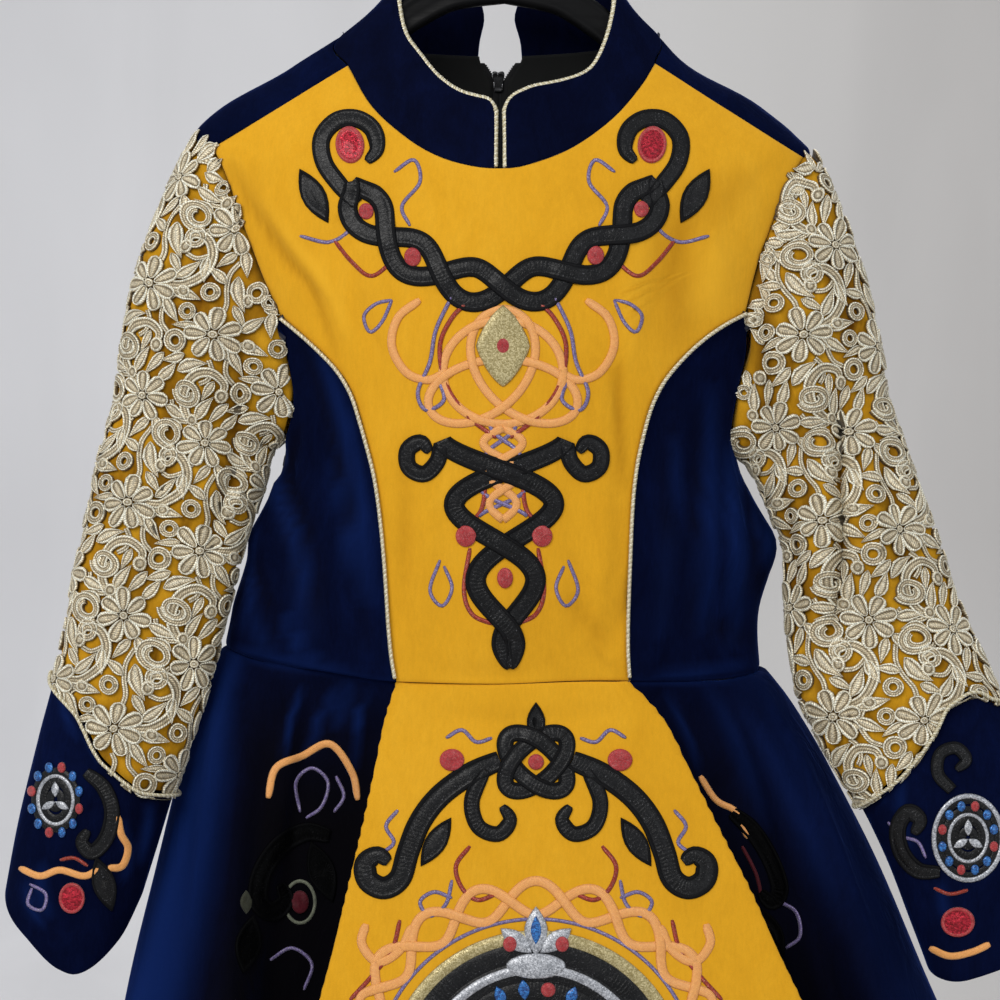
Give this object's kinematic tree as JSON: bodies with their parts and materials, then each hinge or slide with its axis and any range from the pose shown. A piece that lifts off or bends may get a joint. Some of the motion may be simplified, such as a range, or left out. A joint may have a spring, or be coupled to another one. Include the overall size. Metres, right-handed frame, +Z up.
{
  "type": "irish dance dress on hanger",
  "caption": "Long-sleeved flared dance dress with stand collar, lace sleeves, cuffs and a stiff front skirt panel, hung on a plastic hanger.",
  "frame": {"origin": "inside top of the hanger's hook, where the rail carries it", "axes": "+Z up along the hanging dress, -Y out of the front of the dress, +X to the right as seen from the front"},
  "size_m": [0.639, 0.2005, 0.8954],
  "materials": {
    "gold_velvet": "matte velvet",
    "blue_velvet": "matte velvet",
    "lace": "metallic thread",
    "piping": "metallic cord",
    "facing": "matte",
    "hanger_plastic": "satin",
    "zip_metal": "dark nickel"
  },
  "bodies": {
    "dress": {"front_panel": "gold_velvet", "side_front_left": "blue_velvet", "side_front_right": "blue_velvet", "back_left": "blue_velvet", "back_right": "blue_velvet", "collar_left": "blue_velvet", "collar_right": "blue_velvet", "collar_piping_left": "piping", "collar_piping_right": "piping", "neck_facing_left": "facing", "neck_facing_right": "facing", "princess_piping_left": "piping", "princess_piping_right": "piping", "sleeve_left": "gold_velvet", "sleeve_right": "gold_velvet", "lace_left": "lace", "lace_right": "lace", "cuff_left": "blue_velvet", "cuff_right": "blue_velvet", "cuff_piping_left": "piping", "cuff_piping_right": "piping", "skirt_front": "gold_velvet", "skirt_left": "blue_velvet", "skirt_right": "blue_velvet", "zip_tape_left": "facing", "zip_tape_right": "facing", "zip_slider": "zip_metal", "hanger": "hanger_plastic"},
    "zip_pull": {"zip_pull": "zip_metal"}
  },
  "joints": [
    {"name": "zip_pull_swing", "type": "hinge", "parent": "dress", "child": "zip_pull", "pos_m": [-0.003, 0.05031, -0.12166], "axis": [1, 0, 0], "range_deg": [0, 150]}
  ]
}
